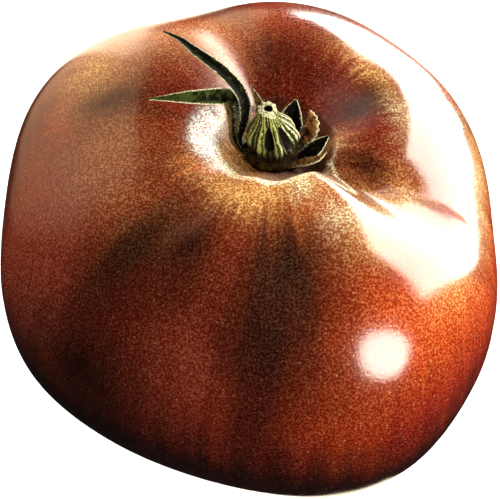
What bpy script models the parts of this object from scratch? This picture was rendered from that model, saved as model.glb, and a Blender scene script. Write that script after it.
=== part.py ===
"""A black brandywine tomato as picked: the fruit, its calyx of dried sepals and its ribbed stalk stub.

The fruit is one closed surface of a formula. A rounded body has a lobed plan, furrows run
down its shoulders, and a steep cup round the stalk lies in a wider sunken bowl. The calyx
stands in the cup on a small disc, and the stalk stub stands on the disc.
Lengths are in metres, +Z is up, and the origin is on the surface that the fruit rests on.
"""

import math

import bpy
import numpy as np
from mathutils import Vector
from mathutils.bvhtree import BVHTree

MM = 0.001

# The fruit's body
BODY_HEIGHT = 77.0 * MM
PLAN_RADIUS = 47.5 * MM
BULGE = 2.3
SHOULDER_BULGE = 2.257
BASE_BULGE = 2.3
REST_FLAT_DEPTH = 1.2 * MM

# The lobes of its plan: direction in degrees from +X, half width in degrees, swell
LOBES = [
    (82, 50, 5.5 * MM),
    (141, 22, 5.4 * MM),
    (211, 21, 2.5 * MM),
    (301, 31, 9.8 * MM),
    (337, 15, 2.8 * MM),
]

# The furrows: direction at the cup and at the waist, half width in degrees before and after
# that direction, depth on the shoulder, and the share of that depth left at the waist
FURROWS = [
    (105.6, 108, 13.0, 13.0, 1.86 * MM, 0.21),
    (323.9, 340, 11.3, 16.5, 3.70 * MM, 0.163),
    (230.1, 221, 14.5, 14.5, 1.48 * MM, 0.52),
    (37.4, 52, 19.2, 19.2, 1.55 * MM, 0.19),
    (272.6, 280, 14.6, 14.6, 1.14 * MM, 0.38),
]
FURROW_START_RADIUS = 9.0 * MM
FURROW_TURN_START = 0.35
FURROW_TURN_LENGTH = 0.66
FURROW_FADE_ABOVE = 1.2
FURROW_FADE_BELOW = 0.8

# The stalk end: how far it lies off the body's middle, its bowl, which is deeper towards +Y,
# and its cup
STALK_X = 5.8 * MM
STALK_Y = -2.6 * MM
STALK_LEAN = 1.3
BOWL_RADIUS = 15.85 * MM
BOWL_DEPTH = 8.86 * MM
BOWL_TILT = 0.328
CUP_RADIUS = 10.2 * MM
CUP_DEPTH = 2.98 * MM
CUP_STEEPNESS = 7.0

# The shoulder's swells on a ring round the stalk, and the hollows that lead into the bowl:
# direction in degrees, height or depth
SHOULDER_SWELLS = [
    (10, 1.31 * MM),
    (50, 1.00 * MM),
    (90, -0.38 * MM),
    (170, -0.18 * MM),
    (210, -0.49 * MM),
    (290, 0.38 * MM),
    (330, -1.00 * MM),
]
SWELL_HALF_WIDTH = 24
SWELL_RING_RADIUS = 30.0 * MM
SWELL_RING_WIDTH = 10.0 * MM
BOWL_HOLLOWS = [(150, 0.61 * MM), (200, 0.98 * MM), (330, 0.78 * MM)]
HOLLOW_HALF_WIDTH = 35
HOLLOW_RADIUS = 15.5 * MM

# The blossom end: a small scarred pit in the flat spot that it rests on
PIT_RADIUS = 4.5 * MM
PIT_DEPTH = 0.9 * MM

FRUIT_SEGMENTS = 96
FRUIT_RINGS = 40
RING_CROWDING = 1.4

# The calyx's disc, off the cup's middle, and the gap that loose neighbours keep
DISC_X = -0.2 * MM
DISC_Y = 1.0 * MM
DISC_RADIUS = 5.7 * MM
DISC_THICKNESS = 1.2 * MM
DISC_SEGMENTS = 32
DISC_RINGS = 4
GAP = 0.35 * MM

# The stalk stub: a ribbed dome that narrows to a broken end with a pith hole
STUB_RADIUS = 4.9 * MM
STUB_HEIGHT = 10.0 * MM
STUB_END_RADIUS = 1.9 * MM
STUB_BULGE = 1.3
STUB_SHOULDER = 2.4
STUB_LEAN_X = -1.1 * MM
STUB_LEAN_Y = -0.6 * MM
STUB_FOOT = 0.86
STUB_FOOT_HEIGHT = 0.09
STUB_RIBS = 9
STUB_RIB_DEPTH = 0.07
STUB_SEGMENTS = 54
STUB_RINGS = 16
PITH_RADIUS = 0.8 * MM
PITH_DEPTH = 1.4 * MM

# Two deep splits in the stub: direction, half width in degrees, and the middle and half
# length as shares of its height
STUB_SPLITS = [(262, 9, 0.42, 0.30), (316, 10, 0.38, 0.32)]
STUB_SPLIT_DEPTH = 1.3 * MM

# The sepals: a strap's thickness, the points along and across it, and how wide its foot
# and its tip are as shares of its widest place
BLADE_THICKNESS = 0.7 * MM
BLADE_STATIONS = 15
BLADE_ACROSS = 5
BLADE_FOOT = 0.42
BLADE_TIP = 0.16
BLADE_WIDEST = 0.8
BLADE_FULLNESS = 0.75
BLADE_FOLD_LEVEL = 0.5
CURVE_STEPS = 12
ROOT_INSET = 0.75
ROOT_HEIGHT = 1.0 * MM
BEND_HEIGHT = 1.6 * MM
CALYX_LEVEL = 65.6 * MM

# Each sepal: the direction of its root from the disc's middle in degrees, then the points
# of its midrib in millimetres from the stalk's place, its width in millimetres, how far
# its sides fold up, and its turn about the midrib at the root and at the tip
SEPALS = {
    "long": {
        "root": 196,
        "midrib": [
            (-6.8, 1.5, 3.0), (-6.2, 3.2, 4.9), (-5.7, 5.1, 7.9), (-6.7, 7.4, 9.9),
            (-9.9, 11.0, 11.4), (-14.9, 15.7, 11.9), (-17.8, 19.3, 11.4), (-21.0, 22.6, 10.3),
        ],
        "width": 2.4, "fold": 0.45, "turn": (10, -10),
    },
    "flopped": {
        "root": 183,
        "midrib": [
            (-7.6, 1.9, 3.0), (-7.8, 3.8, 5.4), (-8.3, 6.1, 8.0), (-9.4, 6.9, 8.9),
            (-13.1, 6.3, 9.4), (-17.7, 6.2, 9.3), (-23.4, 6.8, 8.3),
        ],
        "width": 3.0, "fold": 0.5, "turn": (-20, 0),
    },
    "rear": {
        "root": 105,
        "midrib": [(-2.5, 7.6, 3.2), (-3.3, 8.8, 5.8), (-4.6, 10.3, 8.2)],
        "width": 1.9, "fold": 0.5, "turn": (0, 20),
    },
    "upright": {
        "root": 51,
        "midrib": [(3.4, 6.5, 3.3), (3.7, 7.0, 5.4), (4.0, 7.5, 7.4)],
        "width": 4.0, "fold": 0.6, "turn": (0, 10),
    },
    "crumpled": {
        "root": 22,
        "midrib": [(6.4, 3.8, 2.8), (7.0, 4.4, 4.6), (6.6, 5.6, 6.6)],
        "width": 3.8, "fold": -0.35, "turn": (0, -10),
    },
    "pointed": {
        "root": -40,
        "midrib": [(6.2, -2.2, 2.7), (8.0, -1.2, 4.2), (9.9, -0.4, 6.0)],
        "width": 3.0, "fold": 0.3, "turn": (-25, -40),
    },
    "curled": {
        "root": -54,
        "midrib": [(4.8, -4.0, 3.0), (7.3, -4.7, 4.5), (9.5, -4.2, 5.9)],
        "width": 1.8, "fold": -0.4, "turn": (0, 25),
    },
}


# The finishes: base colour and roughness
SKIN_FINISH = ((0.20, 0.035, 0.016), 0.28)
SEPAL_FINISH = ((0.09, 0.11, 0.03), 0.75)
STALK_FINISH = ((0.33, 0.35, 0.12), 0.70)


def fold(angle, direction, before, after):
    """A smooth fold round the plan, 1 at its direction, with a half width on each side of it."""
    off = (angle - np.radians(direction) + np.pi) % (2 * np.pi) - np.pi
    return np.exp(-((off / np.radians(np.where(off > 0, after, before))) ** 2))


def bump(angle, direction, half_width):
    """One smooth swell round the plan, 1 at its direction in degrees."""
    return fold(angle, direction, half_width, half_width)


def ease(share):
    """A smooth step from 0 to 1."""
    share = np.clip(share, 0, 1)
    return share * share * (3 - 2 * share)


def fruit_points(polar, angle):
    """Points of the fruit's skin: polar runs 0 at the stalk to pi at the blossom end."""
    half = (BODY_HEIGHT + REST_FLAT_DEPTH) / 2
    cosine = np.cos(polar)
    above = cosine > 0
    bulge = np.where(above, SHOULDER_BULGE, BASE_BULGE)
    out = np.clip(np.sin(polar), 0, 1) ** (2 / BULGE)
    up = np.sign(cosine) * np.abs(cosine) ** (2 / bulge)

    plan = PLAN_RADIUS + sum(swell * bump(angle, at, wide) for at, wide, swell in LOBES)
    radius = plan * out
    height = half * up

    normal_out = out ** (BULGE - 1) / plan
    normal_up = np.sign(up) * np.abs(up) ** (bulge - 1) / half
    length = np.hypot(normal_out, normal_up)

    turn = ease((out - FURROW_TURN_START) / FURROW_TURN_LENGTH)
    start = 1 - np.exp(-((radius / FURROW_START_RADIUS) ** 2))
    depth = np.zeros_like(radius)
    for at_cup, at_waist, before, after, deep, kept in FURROWS:
        on_shoulder = kept + (1 - kept) * np.abs(up) ** FURROW_FADE_ABOVE
        under_waist = kept * np.clip(1 + up, 0, 1) ** FURROW_FADE_BELOW
        along = np.where(above, on_shoulder, under_waist)
        direction = at_cup + (at_waist - at_cup) * turn
        depth += deep * fold(angle, direction, before, after) * along * start
    radius = radius - depth * normal_out / length
    height = height - depth * normal_up / length

    tilted = 1 + BOWL_TILT * np.sin(angle) * start
    bowl = BOWL_DEPTH * tilted * np.exp(-((radius / BOWL_RADIUS) ** 2))
    cup = CUP_DEPTH * np.exp(-(np.abs(radius / CUP_RADIUS) ** CUP_STEEPNESS))
    swells = sum(high * bump(angle, at, SWELL_HALF_WIDTH) for at, high in SHOULDER_SWELLS)
    swells = swells * np.exp(-(((radius - SWELL_RING_RADIUS) / SWELL_RING_WIDTH) ** 2))
    hollows = sum(deep * bump(angle, at, HOLLOW_HALF_WIDTH) for at, deep in BOWL_HOLLOWS)
    hollows = hollows * np.exp(-((radius / HOLLOW_RADIUS) ** 4)) * start
    height = height + np.where(above, swells - hollows - bowl - cup, 0)

    lean = np.clip(up, 0, 1) ** STALK_LEAN
    x = radius * np.cos(angle) + STALK_X * lean
    y = radius * np.sin(angle) + STALK_Y * lean
    pit = PIT_DEPTH * ease(1 - radius / PIT_RADIUS)
    z = np.maximum(height + half - REST_FLAT_DEPTH, np.where(above, 0, pit))
    return np.stack([x, y, z], axis=-1)


def fruit_centre():
    """The middle of the fruit's outline in plan, which stands over the origin."""
    polar, angle = np.meshgrid(
        np.linspace(0, np.pi, 4 * FRUIT_RINGS), np.linspace(0, 2 * np.pi, 4 * FRUIT_SEGMENTS)
    )
    points = fruit_points(polar, angle).reshape(-1, 3)
    return (points.min(axis=0) + points.max(axis=0)) / 2 * np.array([1, 1, 0])


def material(name, colour, roughness):
    """A plain finish for one node."""
    made = bpy.data.materials.new(name)
    made.use_nodes = True
    made.diffuse_color = (*colour, 1)
    shader = made.node_tree.nodes["Principled BSDF"]
    shader.inputs["Base Color"].default_value = (*colour, 1)
    shader.inputs["Roughness"].default_value = roughness
    shader.inputs["Metallic"].default_value = 0
    return made


def solid(name, points, faces, finish):
    """An object of one closed mesh, shaded smooth."""
    mesh = bpy.data.meshes.new(name)
    mesh.from_pydata([tuple(p) for p in points], [], faces)
    mesh.update()
    mesh.shade_smooth()
    if finish is not None:
        mesh.materials.append(finish)
    made = bpy.data.objects.new(name, mesh)
    bpy.context.scene.collection.objects.link(made)
    return made


def closed_rings(rings, first_end, last_end):
    """Faces between rings of equal length, closed by a fan to a point at each end.

    Each ring runs anticlockwise seen from the first end, which comes before all rings.
    """
    count = len(rings[0])
    points = [first_end]
    for ring in rings:
        points.extend(ring)
    points.append(last_end)
    last = len(points) - 1
    faces = []
    for k in range(count):
        after = (k + 1) % count
        faces.append((0, 1 + k, 1 + after))
        base = 1 + (len(rings) - 1) * count
        faces.append((last, base + after, base + k))
        for row in range(len(rings) - 1):
            a = 1 + row * count
            b = a + count
            faces.append((a + k, b + k, b + after))
            faces.append((a + k, b + after, a + after))
    return points, faces


def make_fruit(centre):
    """The fruit: rings crowded towards the cup, closed at the stalk and blossom ends."""
    polar = np.pi * (np.arange(FRUIT_RINGS + 1) / FRUIT_RINGS) ** RING_CROWDING
    angle = 2 * np.pi * np.arange(FRUIT_SEGMENTS) / FRUIT_SEGMENTS
    ends = fruit_points(polar[[0, -1]], np.zeros(2)) - centre
    rings = [fruit_points(np.full(FRUIT_SEGMENTS, at), angle) - centre for at in polar[1:-1]]
    points, faces = closed_rings(rings, ends[0], ends[1])
    finish = material("tomato_skin", *SKIN_FINISH)
    return solid("fruit", points, faces, finish)


def skin_height(fruit):
    """A function that gives the height of the fruit's top at a place in plan."""
    mesh = fruit.data
    tree = BVHTree.FromPolygons([v.co for v in mesh.vertices], [p.vertices for p in mesh.polygons])
    start = 2 * BODY_HEIGHT
    down = Vector((0, 0, -1))

    def height(x, y):
        return tree.ray_cast(Vector((x, y, start)), down)[0].z

    return height


def make_disc(middle, height, finish):
    """The calyx's disc: its underside follows the cup, and its top is flat. Also its top's height."""
    angle = 2 * np.pi * np.arange(DISC_SEGMENTS) / DISC_SEGMENTS

    def places(share):
        out = share * DISC_RADIUS
        return middle[0] + out * np.cos(angle), middle[1] + out * np.sin(angle)

    floors = [height(x, y) for x, y in zip(*places(1))]
    top = max(floors) + GAP + DISC_THICKNESS
    shares = np.arange(1, DISC_RINGS + 1) / DISC_RINGS
    rings = [[(x, y, top) for x, y in zip(*places(share))] for share in shares]
    for share in shares[::-1]:
        rings.append([(x, y, height(x, y) + GAP) for x, y in zip(*places(share))])
    under_end = (*middle, height(*middle) + GAP)
    points, faces = closed_rings(rings, (*middle, top), under_end)
    return solid("calyx", points, faces, finish), top


def smooth_curve(controls, count):
    """Evenly spaced points on a smooth curve through a few control points."""
    controls = np.array(controls, dtype=float)
    before = 2 * controls[0] - controls[1]
    after = 2 * controls[-1] - controls[-2]
    knots = np.vstack([before, controls, after])
    spans = len(controls) - 1
    fine = []
    for position in np.linspace(0, spans, CURVE_STEPS * count):
        k = min(int(position), spans - 1)
        t = position - k
        a, b, c, d = knots[k : k + 4]
        straight = 2 * b + (c - a) * t
        bent = (2 * a - 5 * b + 4 * c - d) * t**2 + (3 * b - a - 3 * c + d) * t**3
        fine.append((straight + bent) / 2)
    fine = np.array(fine)
    run = np.concatenate([[0], np.cumsum(np.linalg.norm(np.diff(fine, axis=0), axis=1))])
    even = np.linspace(0, run[-1], count)
    return np.stack([np.interp(even, run, fine[:, axis]) for axis in range(3)], axis=1)


def blade_width(share):
    """A sepal's width along its length, as a share of its widest place."""
    spindle = math.sin(math.pi * share**BLADE_WIDEST) ** BLADE_FULLNESS if 0 < share < 1 else 0
    return max(spindle, BLADE_FOOT * (1 - share), BLADE_TIP)


def unit(vector):
    """The same direction, one long."""
    return vector / np.linalg.norm(vector)


def make_sepal(name, form, stalk, middle):
    """One sepal: a folded strap from its root in the disc, its face to the stub and the sky."""
    root = math.radians(form["root"])
    outward = np.array([math.cos(root), math.sin(root), 0])
    level = np.array([0, 0, CALYX_LEVEL])
    start = middle + outward * DISC_RADIUS * ROOT_INSET + level + [0, 0, ROOT_HEIGHT]
    bend = middle + outward * DISC_RADIUS + level + [0, 0, BEND_HEIGHT]
    rest = [stalk + level + np.array(point) * MM for point in form["midrib"]]
    midrib = smooth_curve([start, bend, *rest], BLADE_STATIONS)
    across = np.linspace(1, -1, BLADE_ACROSS)
    rings = []
    for k, at in enumerate(midrib):
        share = k / (BLADE_STATIONS - 1)
        ahead = unit(midrib[min(k + 1, BLADE_STATIONS - 1)] - midrib[max(k - 1, 0)])
        to_stub = unit((middle - at) * [1, 1, 0])
        face = to_stub + [0, 0, 1]
        face = unit(face - ahead * face.dot(ahead))
        side = np.cross(ahead, face)
        turn = math.radians(np.interp(share, [0, 1], form["turn"]))
        face = face * math.cos(turn) + side * math.sin(turn)
        side = np.cross(ahead, face)
        half = form["width"] * MM * blade_width(share) / 2
        fold = form["fold"] * half * (np.abs(across) - BLADE_FOLD_LEVEL)
        line = at + np.outer(across * half, side) + np.outer(fold, face)
        thick = face * BLADE_THICKNESS / 2
        rings.append(np.vstack([line + thick, (line - thick)[::-1]]))
    points, faces = closed_rings(rings, rings[0].mean(axis=0), rings[-1].mean(axis=0))
    return solid(f"sepal_{name}", points, faces, None)


def make_calyx(stalk, middle, height):
    """The disc with every sepal joined to it in one body. Also the height of the disc's top."""
    finish = material("sepal_green", *SEPAL_FINISH)
    calyx, top = make_disc(middle[:2], height, finish)
    sepals = bpy.data.collections.new("sepals")
    bpy.context.scene.collection.children.link(sepals)
    for name, form in SEPALS.items():
        sepal = make_sepal(name, form, stalk, middle)
        bpy.context.scene.collection.objects.unlink(sepal)
        sepals.objects.link(sepal)
    join = calyx.modifiers.new("join", "BOOLEAN")
    join.operation = "UNION"
    join.operand_type = "COLLECTION"
    join.collection = sepals
    join.solver = "EXACT"
    graph = bpy.context.evaluated_depsgraph_get()
    joined = bpy.data.meshes.new_from_object(calyx.evaluated_get(graph))
    calyx.modifiers.clear()
    calyx.data = joined
    for sepal in list(sepals.objects):
        bpy.data.objects.remove(sepal)
    bpy.data.collections.remove(sepals)
    return top


def stub_points(share, angle, base):
    """Points of the stub's side: share runs 0 at its foot to 1 at its broken end."""
    waist = math.cos(math.pi * share**STUB_BULGE / 2) ** STUB_SHOULDER
    radius = STUB_END_RADIUS + (STUB_RADIUS - STUB_END_RADIUS) * waist
    radius *= 1 - (1 - STUB_FOOT) * math.exp(-((share / STUB_FOOT_HEIGHT) ** 2))
    radius *= 1 + STUB_RIB_DEPTH * np.cos(STUB_RIBS * angle)
    for direction, wide, middle, half in STUB_SPLITS:
        along = ease(1 - abs(share - middle) / half)
        radius = radius - STUB_SPLIT_DEPTH * along * bump(angle, direction, wide)
    x = base[0] + STUB_LEAN_X * share + radius * np.cos(angle)
    y = base[1] + STUB_LEAN_Y * share + radius * np.sin(angle)
    return np.stack([x, y, np.full_like(x, base[2] + STUB_HEIGHT * share)], axis=1)


def make_stub(base):
    """The stalk stub: from the pith hole over its broken end and down its ribs to its foot."""
    angle = 2 * np.pi * np.arange(STUB_SEGMENTS) / STUB_SEGMENTS
    end = base + [STUB_LEAN_X, STUB_LEAN_Y, STUB_HEIGHT]
    pith_floor = end - [0, 0, PITH_DEPTH]
    circle = np.stack([np.cos(angle), np.sin(angle), np.zeros_like(angle)], axis=1)
    rings = [pith_floor + PITH_RADIUS * circle, end + PITH_RADIUS * circle]
    rings += [stub_points(share, angle, base) for share in np.linspace(1, 0, STUB_RINGS)]
    points, faces = closed_rings(rings, pith_floor, base)
    solid("pedicel", points, faces, material("stalk_green", *STALK_FINISH))


def main():
    for old in list(bpy.data.objects):
        bpy.data.objects.remove(old)
    centre = fruit_centre()
    fruit = make_fruit(centre)
    height = skin_height(fruit)
    stalk = np.array([STALK_X, STALK_Y, 0]) - centre
    middle = stalk + [DISC_X, DISC_Y, 0]
    top = make_calyx(stalk, middle, height)
    make_stub(middle + [0, 0, top + GAP])


main()
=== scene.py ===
import math

import bpy
import numpy as np
from mathutils import Matrix, Vector, noise
from mathutils.bvhtree import BVHTree


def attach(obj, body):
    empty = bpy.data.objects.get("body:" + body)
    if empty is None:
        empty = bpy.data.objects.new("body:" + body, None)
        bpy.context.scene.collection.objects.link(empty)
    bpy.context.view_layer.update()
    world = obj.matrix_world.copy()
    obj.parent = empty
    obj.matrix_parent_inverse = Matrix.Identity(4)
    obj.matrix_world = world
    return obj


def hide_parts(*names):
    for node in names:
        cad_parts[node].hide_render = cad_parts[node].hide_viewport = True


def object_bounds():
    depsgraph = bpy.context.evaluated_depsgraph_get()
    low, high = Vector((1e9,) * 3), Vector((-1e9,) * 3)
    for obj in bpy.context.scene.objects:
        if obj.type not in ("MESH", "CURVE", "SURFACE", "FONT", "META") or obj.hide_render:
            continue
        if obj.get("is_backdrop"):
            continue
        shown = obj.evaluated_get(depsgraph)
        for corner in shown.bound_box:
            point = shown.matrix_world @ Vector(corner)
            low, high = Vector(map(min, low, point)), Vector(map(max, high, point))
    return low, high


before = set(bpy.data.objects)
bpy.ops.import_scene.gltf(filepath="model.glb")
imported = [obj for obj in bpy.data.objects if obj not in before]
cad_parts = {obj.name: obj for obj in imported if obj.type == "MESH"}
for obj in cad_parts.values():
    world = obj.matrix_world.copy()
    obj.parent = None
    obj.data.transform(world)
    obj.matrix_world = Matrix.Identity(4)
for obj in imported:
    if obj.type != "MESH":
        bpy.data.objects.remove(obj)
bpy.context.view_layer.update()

# The fruit: one whole tomato, a low lobed berry with a sunken stalk end and a small scarred base.
# Its shape follows a rule, so Geometry Nodes bend a sphere to it: a rounded box section that
# swells into lobes, folds into furrows, and drops into the bowl and cup that the stalk stands in.
MM = 0.001
BODY_HEIGHT = 77 * MM
PLAN_RADIUS = 47.5 * MM
REST_FLAT_DEPTH = 1.2 * MM
FRUIT_CENTRE = (0.326 * MM, 0.041 * MM)
FRUIT_SEGMENTS, FRUIT_RINGS = 352, 268
RING_CROWDING = 1.4
BULGE, SHOULDER_BULGE, BASE_BULGE = 2.3, 2.257, 2.3
# direction and half width in degrees, swell
LOBES = [(82, 50, 5.5 * MM), (141, 22, 5.4 * MM), (211, 21, 2.5 * MM),
         (301, 31, 9.8 * MM), (337, 15, 2.8 * MM)]
# direction at the cup and at the waist, half width before and after it, depth, share of the
# depth kept at the waist
FURROWS = [(105.6, 108, 13, 13, 1.86 * MM, 0.21), (323.9, 340, 11.3, 16.5, 3.7 * MM, 0.163),
           (230.1, 221, 14.5, 14.5, 1.48 * MM, 0.52), (37.4, 52, 19.2, 19.2, 1.55 * MM, 0.19),
           (272.6, 280, 14.6, 14.6, 1.14 * MM, 0.38)]
FURROW_START_RADIUS = 9 * MM
TURN_START, TURN_LENGTH = 0.35, 0.66
FADE_ABOVE, FADE_BELOW = 1.2, 0.8
STALK_X, STALK_Y, STALK_LEAN = 5.8 * MM, -2.6 * MM, 1.3
BOWL_RADIUS, BOWL_DEPTH, BOWL_TILT = 15.85 * MM, 8.86 * MM, 0.328
CUP_RADIUS, CUP_DEPTH, CUP_STEEPNESS = 10.2 * MM, 2.98 * MM, 7
# swells on a ring round the stalk, and hollows that lead into the bowl: direction, height
SWELLS = [(10, 1.31 * MM), (50, 1.0 * MM), (90, -0.38 * MM), (170, -0.18 * MM),
          (210, -0.49 * MM), (290, 0.38 * MM), (330, -1.0 * MM)]
SWELL_HALF_WIDTH, SWELL_RING, SWELL_RING_WIDTH = 24, 30 * MM, 10 * MM
HOLLOWS = [(150, 0.61 * MM), (200, 0.98 * MM), (330, 0.78 * MM)]
HOLLOW_HALF_WIDTH, HOLLOW_RADIUS = 35, 15.5 * MM
PIT_RADIUS, PIT_DEPTH = 4.5 * MM, 0.9 * MM
# fine relief of the skin, on top of the main shape
SWELL_SIZE, SWELL_HEIGHT = 18 * MM, 0.10 * MM
DIMPLE_SIZE, DIMPLE_HEIGHT = 2.6 * MM, 0.02 * MM
PUCKERS, PUCKER_HEIGHT, PUCKER_RADIUS, PUCKER_WIDTH = 23, 0.03 * MM, 12.5 * MM, 2.2 * MM
CORK_RADIUS, CORK_WIDTH, CORK_HEIGHT = 11.4 * MM, 0.7 * MM, 0.15 * MM


class Wire:
    """A socket of a node tree. A sum written with wires adds the Math nodes that work it out."""

    def __init__(self, tree, socket=None):
        self.tree, self.socket = tree, socket

    def node(self, kind, settings=None, inputs=None, output=0):
        """Adds any node: its settings first, then the values or links of its sockets."""
        made = self.tree.nodes.new(kind)
        for name, value in (settings or {}).items():
            setattr(made, name, value)
        for key, value in (inputs or {}).items():
            if isinstance(value, Wire):
                self.tree.links.new(value.socket, made.inputs[key])
            else:
                made.inputs[key].default_value = value
        return Wire(self.tree, made.outputs[output])

    def math(self, operation, *values):
        return self.node("ShaderNodeMath", {"operation": operation}, dict(enumerate(values)))

    def out(self, name):
        return Wire(self.tree, self.socket.node.outputs[name])

    def __add__(self, other):
        return self.math("ADD", self, other)

    def __sub__(self, other):
        return self.math("SUBTRACT", self, other)

    def __rsub__(self, other):
        return self.math("SUBTRACT", other, self)

    def __mul__(self, other):
        return self.math("MULTIPLY", self, other)

    def __truediv__(self, other):
        return self.math("DIVIDE", self, other)

    def __rtruediv__(self, other):
        return self.math("DIVIDE", other, self)

    def __pow__(self, other):
        return self.math("POWER", self, other)

    __radd__, __rmul__ = __add__, __mul__


def clamp(value):
    return value.node("ShaderNodeClamp", None, {0: value})


def ease(value):
    """0 to 1 with level ends, as value goes from 0 to 1."""
    t = clamp(value)
    return t * t * (3 - 2 * t)


def fall(value):
    """A bell of height 1, a third high where value is 1."""
    return (value * value * -1).math("EXPONENT", value * value * -1)


def bump(angle, at, wide):
    """A bell round the fruit, at an angle and of a half width in degrees."""
    return fall(angle.math("WRAP", angle - math.radians(at), math.pi, -math.pi)
                / math.radians(wide))


def node_tree(name, sizes):
    """A Geometry Nodes tree with one named input for each size, and a wire from each."""
    tree = bpy.data.node_groups.new(name, "GeometryNodeTree")
    tree.interface.new_socket("Geometry", in_out="OUTPUT", socket_type="NodeSocketGeometry")
    for label, value in sizes.items():
        kind = "NodeSocketInt" if isinstance(value, int) else "NodeSocketFloat"
        tree.interface.new_socket(label, in_out="INPUT", socket_type=kind)
    entry = tree.nodes.new("NodeGroupInput")
    return tree, [Wire(tree, entry.outputs[label]) for label in sizes]


def grow(name, tree, geometry, sizes, material):
    """Ends the tree, runs it once and keeps its result as a plain mesh object."""
    start = Wire(tree)
    shaded = start.node("GeometryNodeSetMaterial", None, {
        "Geometry": start.node("GeometryNodeRealizeInstances", None, {0: geometry}),
        "Material": material})
    tree.links.new(shaded.socket, tree.nodes.new("NodeGroupOutput").inputs[0])
    host = bpy.data.objects.new(name, bpy.data.meshes.new(name))
    bpy.context.scene.collection.objects.link(host)
    modifier = host.modifiers.new("nodes", "NODES")
    modifier.node_group = tree
    for socket in tree.interface.items_tree:
        if socket.in_out == "INPUT":
            modifier[socket.identifier] = sizes[socket.name]
    ready = bpy.context.evaluated_depsgraph_get()
    mesh = bpy.data.meshes.new_from_object(
        host.evaluated_get(ready), preserve_all_data_layers=True, depsgraph=ready)
    host.modifiers.remove(modifier)
    host.data = mesh
    mesh.name = name
    mesh.shade_smooth()
    return host


skin = bpy.data.materials.new("tomato skin")
skin.use_nodes = True

fruit_sizes = {"Height": BODY_HEIGHT, "Plan radius": PLAN_RADIUS, "Cup radius": CUP_RADIUS,
               "Cup depth": CUP_DEPTH, "Segments": FRUIT_SEGMENTS, "Rings": FRUIT_RINGS}
tree, (body_height, plan_radius, cup_radius, cup_depth, segments, rings) = node_tree(
    "fruit", fruit_sizes)
start = Wire(tree)
ball = start.node("GeometryNodeMeshUVSphere", None, {"Segments": segments, "Rings": rings})
place = start.node("GeometryNodeInputPosition")
apart = start.node("ShaderNodeSeparateXYZ", None, {0: place})
angle = start.math("ARCTAN2", apart.out("Y"), apart.out("X"))
level = start.math("MINIMUM", start.math("MAXIMUM", apart.out("Z"), -1.0), 1.0)
share = start.math("ARCCOSINE", level) / math.pi
polar = share ** RING_CROWDING * math.pi

half = (body_height + REST_FLAT_DEPTH) / 2
above = start.math("LESS_THAN", polar, math.pi / 2)
cosine = start.math("COSINE", polar)
side = start.math("SIGN", cosine)
power = 2 / BASE_BULGE + above * (2 / SHOULDER_BULGE - 2 / BASE_BULGE)
out = clamp(start.math("SINE", polar)) ** (2 / BULGE)
rise = start.math("ABSOLUTE", cosine) ** power
up = side * rise
plan = plan_radius
for at, wide, swell in LOBES:
    plan = plan + bump(angle, at, wide) * swell
normal_out = out ** (BULGE - 1) / plan
normal_up = side * rise ** (BASE_BULGE - 1 + above * (SHOULDER_BULGE - BASE_BULGE)) / half
length = start.math("SQRT", normal_out * normal_out + normal_up * normal_up)
radius, height = plan * out, half * up

turn = ease((out - TURN_START) / TURN_LENGTH)
begin = 1 - fall(radius / FURROW_START_RADIUS)
depth = 0 * out
for at_cup, at_waist, before, after, deep, kept in FURROWS:
    way = at_cup + (at_waist - at_cup) * turn
    off = start.math("WRAP", angle - way * math.radians(1), math.pi, -math.pi)
    wide = before + start.math("GREATER_THAN", off, 0.0) * (after - before)
    fold = fall(off / (wide * math.radians(1)))
    shown = kept + (1 - kept) * rise ** FADE_ABOVE
    under = clamp(1 + up) ** FADE_BELOW * kept
    depth = depth + fold * (under + above * (shown - under)) * deep
swells = start.node("ShaderNodeTexNoise", None, {
    "Vector": place, "Scale": PLAN_RADIUS / SWELL_SIZE, "Detail": 1.0})
dimples = start.node("ShaderNodeTexNoise", None, {
    "Vector": place, "Scale": PLAN_RADIUS / DIMPLE_SIZE, "Detail": 2.0})
relief = ((swells - 0.5) * (2 * SWELL_HEIGHT) + (dimples - 0.5) * (2 * DIMPLE_HEIGHT)
          - depth) * begin
radius = radius + relief * normal_out / length
height = height + relief * normal_up / length

cup_share = start.math("ABSOLUTE", radius / cup_radius) ** CUP_STEEPNESS
cup = start.math("EXPONENT", cup_share * -1) * cup_depth
puckers = (start.math("SINE", angle * PUCKERS + (swells - 0.5) * 14)
           * fall((radius - PUCKER_RADIUS) / PUCKER_WIDTH) * PUCKER_HEIGHT)
cork = fall((radius - CORK_RADIUS) / CORK_WIDTH) * CORK_HEIGHT
bowl = (1 + start.math("SINE", angle) * begin * BOWL_TILT) * fall(radius / BOWL_RADIUS)
bowl = bowl * BOWL_DEPTH
swell_ring = fall((radius - SWELL_RING) / SWELL_RING_WIDTH)
for at, high in SWELLS:
    height = height + above * bump(angle, at, SWELL_HALF_WIDTH) * swell_ring * high
hollow_disc = start.math("EXPONENT", (radius / HOLLOW_RADIUS) ** 4 * -1) * begin
for at, deep in HOLLOWS:
    height = height - above * bump(angle, at, HOLLOW_HALF_WIDTH) * hollow_disc * deep
height = height + above * (puckers + cork - cup - bowl)
lean = clamp(up) ** STALK_LEAN
pit = ease(1 - radius / PIT_RADIUS) * PIT_DEPTH
bottom = (1 - above) * pit
spot = start.node("ShaderNodeCombineXYZ", None, {
    0: radius * start.math("COSINE", angle) + lean * STALK_X - FRUIT_CENTRE[0],
    1: radius * start.math("SINE", angle) + lean * STALK_Y - FRUIT_CENTRE[1],
    2: start.math("MAXIMUM", height + half - REST_FLAT_DEPTH, bottom)})
ring = start.node("ShaderNodeCombineXYZ", None, {
    0: start.math("COSINE", angle), 1: start.math("SINE", angle), 2: polar / math.pi})
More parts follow.
